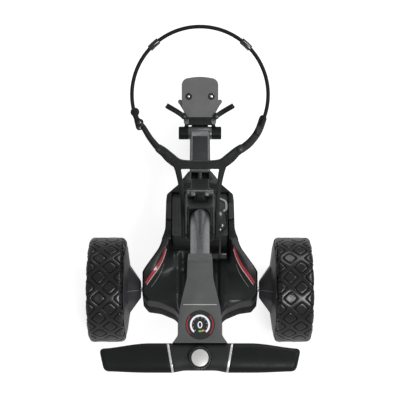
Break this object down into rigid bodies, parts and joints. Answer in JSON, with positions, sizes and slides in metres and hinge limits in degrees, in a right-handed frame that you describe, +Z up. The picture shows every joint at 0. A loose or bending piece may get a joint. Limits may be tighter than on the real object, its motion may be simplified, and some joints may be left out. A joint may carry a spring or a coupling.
{
  "type": "electric golf trolley",
  "caption": "Battery-powered golf trolley with a folding stem, a control knob and display on its handle, a bag strap and cradle, and lugged drive wheels.",
  "frame": {"origin": "on the ground, at the middle of the trolley's width and length", "axes": "+X to the user's right, +Y forward, +Z up"},
  "size_m": [0.59, 1.1363, 0.9534],
  "materials": {
    "shell_black": "satin gloss",
    "stripe_red": "gloss",
    "frame_grey": "dark satin paint",
    "steel": "satin",
    "panel_dark": "matte",
    "stem_metal": "dark satin anodised",
    "motor_can": "satin",
    "board_green": "matte",
    "battery_grey": "fine texture",
    "cell_wrap": "satin",
    "gloss_black": "gloss",
    "cable_black": "satin",
    "console_plastic": "fine texture",
    "lens": "gloss",
    "alloy": "brushed",
    "knob_dark": "satin",
    "grip_rubber": "matte",
    "strap_rubber": "satin",
    "arm_dark": "dark satin paint",
    "plate_grey": "fine texture",
    "tyre_black": "matte",
    "rim_dark": "satin",
    "hub_grey": "satin"
  },
  "bodies": {
    "chassis": {"chassis_upper_shell": "shell_black", "chassis_lower_shell": "shell_black", "side_stripes": "stripe_red", "neck_frame": "frame_grey", "hinge_pins": "steel", "lower_stem": "frame_grey", "lower_stem_panel": "panel_dark", "motor": "motor_can", "gearbox_case": "panel_dark", "axle_bearings": "steel", "control_board": "board_green", "chassis_screws": "steel"},
    "axle": {"drive_axle": "steel", "output_gear": "steel"},
    "pinion": {"motor_pinion": "steel"},
    "battery": {"battery_case": "battery_grey", "battery_lid": "battery_grey", "battery_cells": "cell_wrap", "lead_gland": "gloss_black", "battery_lead": "cable_black", "battery_plug": "gloss_black"},
    "clip_left": {"battery_clip_left": "panel_dark"},
    "clip_right": {"battery_clip_right": "panel_dark"},
    "stem": {"stem_tube": "stem_metal", "stem_hood": "frame_grey", "console_cover": "console_plastic", "console_base": "console_plastic", "display_lens": "lens", "display_board": "board_green", "handle_core": "alloy", "handle_housing": "console_plastic", "handle_bands": "alloy", "grip_left": "grip_rubber", "grip_right": "grip_rubber"},
    "latch": {"lock_lever": "panel_dark"},
    "knob_shaft": {"encoder_shaft": "steel"},
    "knob": {"speed_knob": "knob_dark", "knob_face": "alloy"},
    "yoke": {"yoke_frame": "frame_grey", "yoke_pads": "grip_rubber", "yoke_pins": "steel"},
    "strap_latch": {"strap_lever": "arm_dark"},
    "strap_gate": {"strap_arm": "arm_dark", "bag_strap": "strap_rubber", "strap_fittings": "strap_rubber"},
    "front": {"bag_plate": "plate_grey", "front_fork": "frame_grey", "front_fasteners": "steel"},
    "cradle_left": {"cradle_arm_left": "grip_rubber"},
    "cradle_right": {"cradle_arm_right": "grip_rubber"},
    "front_wheel": {"front_tyre": "tyre_black", "front_rim": "rim_dark"},
    "wheel_left": {"rear_tyre_left": "tyre_black", "rear_rim_left": "rim_dark", "hub_cone_left": "hub_grey"},
    "wheel_right": {"rear_tyre_right": "tyre_black", "rear_rim_right": "rim_dark", "hub_cone_right": "hub_grey"},
    "button_left": {"release_button_left": "panel_dark"},
    "button_right": {"release_button_right": "panel_dark"}
  },
  "joints": [
    {"name": "stem_fold", "type": "hinge", "parent": "chassis", "child": "stem", "pos_m": [0, 0.06812, 0.44311], "axis": [-1, 0, 0], "range_deg": [0, 120]},
    {"name": "yoke_fold", "type": "hinge", "parent": "stem", "child": "yoke", "pos_m": [0, -0.06704, 0.46778], "axis": [1, 0, 0], "range_deg": [0, 55]},
    {"name": "latch_lift", "type": "hinge", "parent": "stem", "child": "latch", "pos_m": [0, 0.03462, 0.49067], "axis": [1, 0, 0], "range_deg": [0, 30], "stiffness_Nm_per_rad": 0.2, "springref_deg": -11.46},
    {"name": "strap_latch_swing", "type": "hinge", "parent": "yoke", "child": "strap_latch", "pos_m": [-0.098, 0.09678, 0.60514], "axis": [0, -0.6428, 0.766], "range_deg": [0, 90]},
    {"name": "strap_gate_swing", "type": "hinge", "parent": "yoke", "child": "strap_gate", "pos_m": [0.098, 0.09678, 0.60514], "axis": [0, 0.6428, -0.766], "range_deg": [0, 70]},
    {"name": "knob_press", "type": "slide", "parent": "stem", "child": "knob_shaft", "axis": [0, 0.342, -0.9397], "range_m": [0, 0.001], "stiffness_N_per_m": 600, "springref_m": -0.001},
    {"name": "knob_turn", "type": "hinge", "parent": "knob_shaft", "child": "knob", "pos_m": [0, -0.5388, 0.88], "axis": [0, -0.342, 0.9397], "continuous": true},
    {"name": "front_fold", "type": "hinge", "parent": "chassis", "child": "front", "pos_m": [0, 0.4112, 0.18], "axis": [-1, 0, 0], "range_deg": [0, 65]},
    {"name": "cradle_left_swing", "type": "hinge", "parent": "front", "child": "cradle_left", "pos_m": [-0.046, 0.44683, 0.21529], "axis": [0, -0.6428, 0.766], "range_deg": [-8, 12]},
    {"name": "cradle_right_swing", "type": "hinge", "parent": "front", "child": "cradle_right", "pos_m": [0.046, 0.44683, 0.21529], "axis": [0, 0.6428, -0.766], "range_deg": [-8, 12]},
    {"name": "front_wheel_spin", "type": "hinge", "parent": "front", "child": "front_wheel", "pos_m": [0, 0.4782, 0.09], "axis": [1, 0, 0], "continuous": true},
    {"name": "axle_spin", "type": "hinge", "parent": "chassis", "child": "axle", "pos_m": [0, -0.0618, 0.14], "axis": [1, 0, 0], "continuous": true},
    {"name": "pinion_spin", "type": "hinge", "parent": "chassis", "child": "pinion", "pos_m": [0, -0.0243, 0.14], "axis": [1, 0, 0], "continuous": true},
    {"name": "wheel_left_spin", "type": "hinge", "parent": "axle", "child": "wheel_left", "pos_m": [-0.247, -0.0618, 0.14], "axis": [1, 0, 0], "continuous": true},
    {"name": "wheel_right_spin", "type": "hinge", "parent": "axle", "child": "wheel_right", "pos_m": [0.247, -0.0618, 0.14], "axis": [1, 0, 0], "continuous": true},
    {"name": "release_left_press", "type": "slide", "parent": "wheel_left", "child": "button_left", "axis": [1, 0, 0], "range_m": [0, 0.004], "stiffness_N_per_m": 400, "springref_m": -0.003},
    {"name": "release_right_press", "type": "slide", "parent": "wheel_right", "child": "button_right", "axis": [-1, 0, 0], "range_m": [0, 0.004], "stiffness_N_per_m": 400, "springref_m": -0.003},
    {"name": "clip_left_open", "type": "hinge", "parent": "chassis", "child": "clip_left", "pos_m": [-0.086, 0.1102, 0.2656], "axis": [0, -1, 0], "range_deg": [0, 40], "stiffness_Nm_per_rad": 0.05, "springref_deg": -17.19},
    {"name": "clip_right_open", "type": "hinge", "parent": "chassis", "child": "clip_right", "pos_m": [0.086, 0.1102, 0.2656], "axis": [0, 1, 0], "range_deg": [0, 40], "stiffness_Nm_per_rad": 0.05, "springref_deg": -17.19},
    {"name": "battery_lift", "type": "slide", "parent": "chassis", "child": "battery", "axis": [0, -0.7361, 0.6769], "range_m": [0, 0.2]}
  ],
  "couplings": [
    {"joint": "yoke_fold", "follows": "stem_fold", "ratio": 0.4583},
    {"joint": "pinion_spin", "follows": "axle_spin", "ratio": -4}
  ]
}
